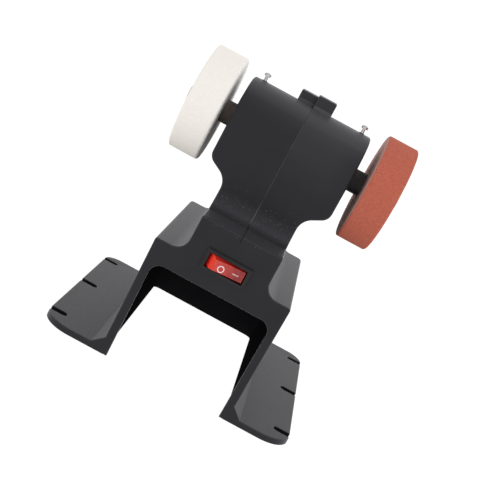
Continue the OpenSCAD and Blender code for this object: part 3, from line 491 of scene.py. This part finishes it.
def turned(name, colour, rough, metallic=1.0):
    """Fine rings left by a lathe, round the X axis."""
    m, tree, shader = new_material(name, colour, rough, metallic)
    rings = noise(tree, 2600, stretch=(1, 0.05, 0.05))
    brighter = tuple(min(1, c * 1.5) for c in colour)
    blotch = spread(tree, noise(tree, 120, 3), 0.35, 0.7)
    tree.links.new(tint(tree, blotch, colour, brighter), shader.inputs["Base Color"])
    tree.links.new(spread(tree, rings, 0.3, 0.7, rough - 0.08, rough + 0.1),
                   shader.inputs["Roughness"])
    bump(tree, shader, rings, 0.012)
    return m


def plated(name, colour, rough):
    """Zinc or nickel plate with a faint bloom."""
    m, tree, shader = new_material(name, colour, rough, 1.0)
    bloom = spread(tree, noise(tree, 400, 3), 0.3, 0.7)
    duller = tuple(c * 0.9 for c in colour)
    tree.links.new(tint(tree, bloom, colour, duller), shader.inputs["Base Color"])
    tree.links.new(spread(tree, noise(tree, 900, 2), 0.3, 0.7, rough - 0.06, rough + 0.08),
                   shader.inputs["Roughness"])
    return m


def grained(name, colour, rough, per_m, depth_mm, metallic=0.0):
    """Pressed, sintered, moulded or rubbery stuff with an even grain."""
    m, tree, shader = new_material(name, colour, rough, metallic)
    darker = tuple(c * 0.7 for c in colour)
    tree.links.new(tint(tree, spread(tree, noise(tree, per_m, 3), 0.3, 0.7), darker, colour),
                   shader.inputs["Base Color"])
    bump(tree, shader, noise(tree, per_m * 1.5, 2), depth_mm)
    return m


def banded(name, colour, gap_colour, rough, per_m, metallic, axis):
    """Sheets or turns side by side: laminated iron, or enamelled wire."""
    m, tree, shader = new_material(name, colour, rough, metallic)
    angle = combine(tree, "MULTIPLY", along(tree, axis), per_m * 2 * math.pi)
    wave = combine(tree, "SINE", angle)
    tree.links.new(tint(tree, spread(tree, wave, -1.0, -0.5), gap_colour, colour),
                   shader.inputs["Base Color"])
    bump(tree, shader, wave, 0.05)
    return m


# Meshes

def place_mm(co):
    """Distance from the middle, depth behind the front panel, and height."""
    co = co / MM
    return abs(co.x), co.y - FRONT, co.z


def from_axis(depth, z):
    return math.hypot(depth - AXIS_DEPTH, z - AXIS_Z)


def copy_solid(node):
    """A node's mesh with its flat faces made whole, for work on its edges."""
    weld, flat = 0.001 * MM, math.radians(0.5)
    bm = bmesh.new()
    bm.from_mesh(NODES[node].data)
    bm.transform(NODES[node].matrix_world)
    bmesh.ops.remove_doubles(bm, verts=bm.verts, dist=weld)
    bmesh.ops.dissolve_limit(bm, angle_limit=flat, verts=bm.verts, edges=bm.edges)
    bm.normal_update()
    return bm


def middle(edge):
    return (edge.verts[0].co + edge.verts[1].co) / 2


def open_edges(bm):
    """Sharp convex edges from which a ray gets away, so they are on the outside."""
    sharp, ray_start = math.radians(28), 0.02 * MM
    tree = BVHTree.FromBMesh(bm)
    found = []
    for e in bm.edges:
        if len(e.link_faces) != 2 or e.calc_face_angle_signed(0) < sharp:
            continue
        out = (e.link_faces[0].normal + e.link_faces[1].normal).normalized()
        if tree.ray_cast(middle(e) + out * ray_start, out)[0] is None:
            found.append(e)
    return found


def soften(bm, chosen, radius, segments, material=-1):
    """Rounds the outer edges that chosen picks by x, depth and z of their middles."""
    edges = [e for e in open_edges(bm) if chosen(*place_mm(middle(e)))]
    bmesh.ops.bevel(bm, geom=edges, offset=radius * MM, offset_type="OFFSET",
                    segments=segments, profile=0.5, affect="EDGES", clamp_overlap=False,
                    loop_slide=True, material=material)
    bm.normal_update()


def place_piece(bm, name, body, node, materials, smooth_below):
    """A smoothly shaded piece in a node's stead, sharp only above the angle in degrees."""
    for f in bm.faces:
        f.smooth = True
    mesh = mesh_from(bm, name, *materials)
    mesh.set_sharp_from_angle(angle=math.radians(smooth_below))
    piece = add_object(name, mesh)
    weighted = piece.modifiers.new("even_normals", "WEIGHTED_NORMAL")
    weighted.keep_sharp = True
    weighted.weight = 60
    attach(piece, body)
    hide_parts(node)


# The stand

def stand_half(z):
    return SHOULDER_HALF - SIDE_LEAN * (1 - min(z, SHOULDER_Z) / SHOULDER_Z)


def stand_back(z):
    return FOOT_D - (FOOT_D - SHOULDER_D) * min(z, SHOULDER_Z) / SHOULDER_Z


def fade(value, start, end):
    return min(1.0, max(0.0, (value - start) / (end - start)))


def plate_edge(depth):
    """How far out the foot plates reach, less where their front corners are round."""
    if depth >= CORNER_R:
        return FOOT_HALF
    return FOOT_HALF - CORNER_R + math.sqrt(CORNER_R ** 2 - (CORNER_R - depth) ** 2)


def reshape_slot(v, side, x, depth):
    """Moves a vertex of a fixing slot, at its open mouth or round its closed end."""
    mouth_x, cad_end_x = FOOT_HALF - 4, FOOT_HALF - SLOT_L + SLOT_R
    for cad_depth, photo_depth, r, length in SLOTS:
        if abs(depth - cad_depth) < SLOT_R + NEAR:
            new_depth = photo_depth + (depth - cad_depth) * r / SLOT_R
            if x > mouth_x:
                new_x = plate_edge(new_depth)
            else:
                new_x = FOOT_HALF - length + r + (x - cad_end_x) * r / SLOT_R
            v.co.x, v.co.y = side * new_x * MM, (new_depth + FRONT) * MM


def reshape_plates(bm):
    """Slots and chamfers of the foot plates at the sizes that the photograph shows."""
    for v in bm.verts:
        side = 1 if v.co.x > 0 else -1
        x, depth, z = place_mm(v.co)
        if x > FOOT_HALF - 12 and z < PLATE_Z + 2 * NEAR:
            reshape_slot(v, side, x, depth)
        elif max(abs(x - CHAMFER_ON_WALL[0]), abs(z - CHAMFER_ON_WALL[1])) < NEAR:
            v.co.x = side * stand_half(PHOTO_CHAMFER_Z) * MM
            v.co.z = PHOTO_CHAMFER_Z * MM
            if depth > FOOT_D / 2:
                v.co.y = (stand_back(PHOTO_CHAMFER_Z) + FRONT) * MM
        elif max(abs(x - CHAMFER_ON_PLATE[0]), abs(z - CHAMFER_ON_PLATE[1])) < NEAR:
            v.co.x = side * PHOTO_CHAMFER_X * MM


def cut_rear(bm, at, normal):
    """Cuts the faces that reach the stand's rear with a plane."""
    rear_from = FRONT + 140
    geom = [f for f in bm.faces if max(v.co.y for v in f.verts) / MM > rear_from]
    edges = {e for f in geom for e in f.edges}
    verts = {v for f in geom for v in f.verts}
    bmesh.ops.bisect_plane(bm, geom=geom + list(edges) + list(verts), dist=1e-7,
                           plane_co=at * MM, plane_no=normal)


def round_rear_corners(bm):
    """Upright corners at the back, rounded in plan on the outside and in the hollow. The
    outer rounding fades out towards the plates, and the inner one towards the lintel."""
    outer_fade, inner_fade = (12, 25), (70, 66)
    slope_wall = WALL * math.hypot(1, (FOOT_D - SHOULDER_D) / SHOULDER_Z)
    lean = Vector((1, 0, -SIDE_LEAN / SHOULDER_Z)).normalized()
    shares = [1 - math.sin(math.radians(a)) for a in range(0, 90, 18)]
    steps = [REAR_R * s for s in shares] + [WALL + REAR_HOLLOW_R * s for s in shares]
    for side in (1, -1):
        for step in steps:
            cut_rear(bm, Vector((side * (stand_half(0) - step), 0, 0)),
                     Vector((side * lean.x, 0, lean.z)))
    for z in sorted(outer_fade + inner_fade):
        cut_rear(bm, Vector((0, 0, z)), Vector((0, 0, 1)))
    for v in bm.verts:
        x, depth, z = place_mm(v.co)
        if z > SHOULDER_Z + 2 * NEAR:
            continue
        into = stand_half(z) - x
        back = stand_back(z) - depth
        if abs(back) < 0.06 and -NEAR < into < REAR_R:
            drop = REAR_R - math.sqrt(max(0, REAR_R ** 2 - (REAR_R - into) ** 2))
            v.co.y -= drop * fade(z, *outer_fade) * MM
        elif abs(back - slope_wall) < 0.12 and -2 * NEAR < into - WALL < REAR_HOLLOW_R:
            reach = WALL + REAR_HOLLOW_R - into
            drop = REAR_HOLLOW_R - math.sqrt(max(0, REAR_HOLLOW_R ** 2 - reach ** 2))
            v.co.y -= drop * fade(z, *inner_fade) * MM


def within_stand(face):
    """True for the faces of the stand that only the inside of the arch and bay sees, which
    lie deeper than the skins of its front, sides, rear and top; they take the darker
    inner black, painted shade."""
    front_skin, side_skin, rear_skin, top_skin = 2.0, WALL / 2, 1.3, 0.2
    x, depth, z = place_mm(face.calc_center_median())
    if depth < front_skin or depth > stand_back(z) - rear_skin or z > JOINT_Z - top_skin:
        return False
    if z < SHOULDER_Z - side_skin:
        return x < stand_half(z) - side_skin
    if z > SHOULDER_Z + PLINTH_R:
        return x < PLINTH_HALF - side_skin
    turn_x, turn_z = PLINTH_HALF + PLINTH_R, SHOULDER_Z + PLINTH_R
    return math.hypot(x - turn_x, z - turn_z) > PLINTH_R + side_skin and x < turn_x


def within_slot(face):
    """True for the walls of the fixing slots, and of the pads' seats beside them, which see
    little but the bench; they take the darker inner black, painted shade."""
    x, depth, z = place_mm(face.calc_center_median())
    if abs(face.normal.z) > 0.3 or z > PLATE_Z - 0.4:
        return False
    beside = FOOT_HALF - 13 < x < FOOT_HALF - 0.4
    return beside and any(abs(depth - at) < SLOT_REACH for _, at, _, _ in SLOTS)


def around_arch(x, depth, z):
    return x < ARCH_HALF and z < ARCH_Z


def arch_front(x, depth, z):
    return around_arch(x, depth, z) and depth < 1


def outer_stand(x, depth, z):
    """The stand's edges, apart from those on the bench, round the arch and behind the
    switch's bezel."""
    behind_bezel = x < 16 and z > 80 and depth < 3
    return 2 < z < JOINT_Z - 0.6 and not around_arch(x, depth, z) and not behind_bezel


def make_stand(surface, edges, inside):
    bm = copy_solid("stand_shell")
    reshape_plates(bm)
    round_rear_corners(bm)
    bm.normal_update()
    soften(bm, outer_stand, radius=0.7, segments=3, material=EDGES)
    soften(bm, arch_front, radius=0.35, segments=2, material=EDGES)
    for f in bm.faces:
        # painted shade: the inner faces and slot walls take the darker black
        if within_stand(f) or within_slot(f):
            f.material_index = INSIDE
    place_piece(bm, "stand_moulding", "frame", "stand_shell",
                (surface, edges, inside), smooth_below=31)


# The body and the wheels

def on_seam(x, depth, z):
    return x < SEAM_X and z > BODY_Z


def outer_body(x, depth, z):
    """The body's edges above the joint, apart from the seam and the arbors' holes."""
    arbor_hole = x > POD_END and from_axis(depth, z) < ARBOR_HOLE_R
    return x > SEAM_X and z > BODY_Z and not arbor_hole


def wheel_rim(x, depth, z):
    return from_axis(depth, z) > RIM_R


def make_body_half(side, surface, edges, seam):
    node = side + "_body_half"
    bm = copy_solid(node)
    soften(bm, outer_body, radius=0.8, segments=3, material=EDGES)
    soften(bm, on_seam, radius=0.3, segments=1, material=SEAM)
    place_piece(bm, side + "_body_moulding", "frame", node,
                (surface, edges, seam), smooth_below=32)


def make_wheel(colour, stone, rim_round):
    """A wheel with its two rims rounded, as bonded abrasive is dressed."""
    node = colour + "_wheel"
    bm = copy_solid(node)
    soften(bm, wheel_rim, radius=rim_round, segments=4)
    place_piece(bm, colour + "_wheel_stone", "spindle", node, (stone,),
                smooth_below=32)


# The switch

ROCKER_PIVOT = Vector((0, FRONT + 5.85, 88.8)) * MM         # the pin
ROCKER_TURN = Matrix.Rotation(math.radians(14), 3, "Z")     # as photographed
ROCKER_REACH = 9.6                  # from the pin out to the cap's two ends
ROCKER_DIP = 0.8                    # how far the cap's middle lies behind them
ROCKER_HALF = 10.2                  # half the cap's length


def from_pin(u, out, z):
    """A place on the rocker, u along it and out from its pin, in metres."""
    return ROCKER_PIVOT + ROCKER_TURN @ Vector((u, -out, z)) * MM


def on_cap(u, z, rise):
    """A place above the cap's shallow V, u and z from its middle."""
    return from_pin(u, ROCKER_REACH - ROCKER_DIP * (1 - abs(u) / ROCKER_HALF) + rise, z)


def place_on_rocker(bm, name, material):
    piece = add_object(name, mesh_from(bm, name, material))
    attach(piece, "rocker")


def make_mark(name, inner_points, outer_points, white):
    """A thin printed shape between two closed outlines, lying on the rocker's cap."""
    bm = bmesh.new()
    rows = []
    for points in (inner_points, outer_points):
        for rise in (0.01, 0.06):
            rows.append([bm.verts.new(on_cap(u, z, rise)) for u, z in points])
    n = len(inner_points)
    for a, b in ((0, 1), (1, 3), (3, 2), (2, 0)):
        for i in range(n):
            j = (i + 1) % n
            bm.faces.new((rows[a][i], rows[a][j], rows[b][j], rows[b][i]))
    bmesh.ops.recalc_face_normals(bm, faces=bm.faces)
    place_on_rocker(bm, name, white)


def ring_outline(u, z, r, n=48):
    turns = [2 * math.pi * i / n for i in range(n)]
    return [(u + r * math.cos(a), z + r * math.sin(a)) for a in turns]


def bar_outline(u, z, half_l, half_h, n=8):
    points = []
    for side in (1, -1):
        for i in range(n + 1):
            a = math.pi * (i / n - 0.5)
            points.append((u + side * (half_l - half_h + half_h * math.cos(a)),
                           z + side * half_h * math.sin(a)))
    return points


def make_marks():
    """A ring for off and a bar for on."""
    white = printed_white()
    off_at, inner_r, outer_r = (-5.04, -0.95), 1.65, 2.32
    on_at, inner_half, outer_half = (4.86, -0.4), (1.95, 0.1), (2.1, 0.3)
    make_mark("switch_mark_off", ring_outline(*off_at, inner_r),
              ring_outline(*off_at, outer_r), white)
    make_mark("switch_mark_on", bar_outline(*on_at, *inner_half),
              bar_outline(*on_at, *outer_half), white)


def make_end_walls(red):
    """The rocker's curved end walls, struck about its pin so the mouth stays closed."""
    half_h, outer_r, inner_r = 4.4, 12.75, 12.2
    first_deg, last_deg, steps = -8.5, 21.5, 10
    edge_cut = 0.1
    section = ((outer_r, -half_h), (outer_r, half_h), (inner_r, half_h), (inner_r, -half_h))
    bm = bmesh.new()
    for side in (1, -1):
        rings = []
        for i in range(steps + 1):
            a = math.radians(first_deg + (last_deg - first_deg) * i / steps)
            rings.append([bm.verts.new(from_pin(side * r * math.cos(a), -r * math.sin(a), z))
                          for r, z in section])
        for near, far in zip(rings, rings[1:]):
            for j in range(4):
                k = (j + 1) % 4
                bm.faces.new((near[j], near[k], far[k], far[j]))
        bm.faces.new(rings[0])
        bm.faces.new(rings[-1])
    bmesh.ops.recalc_face_normals(bm, faces=bm.faces)
    corners = [e for e in bm.edges if e.calc_face_angle(0) > 1]
    bmesh.ops.bevel(bm, geom=corners, offset=edge_cut * MM, segments=1, affect="EDGES")
    place_on_rocker(bm, "rocker_end_walls", red)


# Finishes of the carried-over nodes

def dress(material, *names):
    for n in names:
        slots = NODES[n].data.materials
        slots.clear()
        slots.append(material)


def dress_plastics_and_rubber():
    dress(gloss_black("switch_black"), "switch_frame", "inlet_barrel")
    dress(grained("cap_nylon", (0.05, 0.05, 0.053), rough=0.5, per_m=1300, depth_mm=0.012),
          "motor_end_cap")
    dress(grained("pad_rubber", (0.022, 0.022, 0.023), rough=0.85, per_m=1600, depth_mm=0.03),
          "foot_pads", "motor_cushions")
    dress(grained("lead_insulation", (0.30, 0.025, 0.02), rough=0.4, per_m=600, depth_mm=0.006),
          "power_leads")


def dress_metals():
    dress(turned("arbor_steel", (0.092, 0.074, 0.062), rough=0.8, metallic=0.0), "left_arbor")
    # painted shade: the right arbor is a darker version of the left one's steel
    dress(turned("arbor_steel_shaded", (0.020, 0.0175, 0.0165), rough=0.65, metallic=0.0),
          "right_arbor")
    dress(grained("set_screw_black", (0.03, 0.03, 0.032), rough=0.35, per_m=900, depth_mm=0.01,
                  metallic=0.8), "arbor_set_screws")
    dress(plated("zinc_plate", (0.52, 0.52, 0.525), rough=0.3), "guard_screws",
          "wheel_washers", "left_wheel_bolt", "right_wheel_bolt", "ear_screw", "ear_nut",
          "neck_screws", "body_screws", "bay_cover_screws", "inlet_nut")
    dress(plated("brass", (0.70, 0.52, 0.24), rough=0.25), "brush_holders",
          "motor_terminals", "switch_terminals", "inlet_pin")


def dress_motor():
    dress(plated("motor_steel", (0.42, 0.43, 0.44), rough=0.32), "motor_can")
    dress(turned("bearing_steel", (0.66, 0.66, 0.68), rough=0.14), "bearing_outer_rings",
          "bearing_inner_rings", "motor_shaft")
    dress(plated("ball_steel", (0.72, 0.72, 0.74), rough=0.08), "bearing_balls")
    dress(banded("core_iron", (0.24, 0.24, 0.25), (0.07, 0.06, 0.06), rough=0.45, per_m=1000,
                 metallic=0.8, axis="X"), "armature_core")
    dress(banded("copper_wire", (0.78, 0.36, 0.17), (0.25, 0.09, 0.04), rough=0.3, per_m=1600,
                 metallic=0.9, axis="Y"), "armature_windings")
    dress(turned("copper_bar", (0.76, 0.38, 0.20), rough=0.25), "commutator")
    dress(grained("ferrite", (0.07, 0.07, 0.076), rough=0.6, per_m=1200, depth_mm=0.02),
          "motor_magnets")
    dress(grained("carbon", (0.035, 0.035, 0.037), rough=0.5, per_m=2200, depth_mm=0.015),
          "carbon_brushes")


make_camera()
make_sky()
make_lamp()
make_floor()
bpy.context.scene.view_settings.view_transform = "Standard"

black = moulded_black("moulded_black")
# painted highlight: a paler, shinier black with more dust on the rounded edges
black_rim_highlight = moulded_black("moulded_black_rim_highlight", level=1.6, shine=0.34, rough=0.38, dust=0.03)
# painted shade: a darker, duller black for the faces inside the arch, bay and slots
black_painted_shade = moulded_black("moulded_black_inner_shade", level=0.55, shine=0.0, rough=0.8, dust=0)
seam = parting_line("parting_line")
make_stand(black, black_rim_highlight, black_painted_shade)
make_body_half("left", black, black_rim_highlight, seam)
make_body_half("right", black, black_rim_highlight, seam)
# painted shade on the bay cover
dress(black_painted_shade, "bay_cover")

white_stone = abrasive("white_abrasive", light=(0.905, 0.862, 0.808), mid=(0.870, 0.824, 0.766),
                       dark=(0.83, 0.785, 0.732), grain_per_m=1900, depth_mm=0.03, motor_side=1,
                       # the white wheel's face towards the motor is paler than its stone: painted
                       # light
                       inner_face=(1.0, 0.98, 0.95), outer_face=(0.71, 0.68, 0.64))
red_stone = abrasive("red_abrasive", light=(0.52, 0.145, 0.094), mid=(0.455, 0.115, 0.072),
                     dark=(0.385, 0.092, 0.060), grain_per_m=1700, depth_mm=0.035, motor_side=-1,
                     inner_face=(0.52, 0.315, 0.28), outer_face=(0.43, 0.155, 0.112))
make_wheel("white", white_stone, rim_round=2.8)
make_wheel("red", red_stone, rim_round=1.8)

red = rocker_red()
dress(red, "switch_rocker")
make_marks()
make_end_walls(red)
dress_plastics_and_rubber()
dress_metals()
dress_motor()
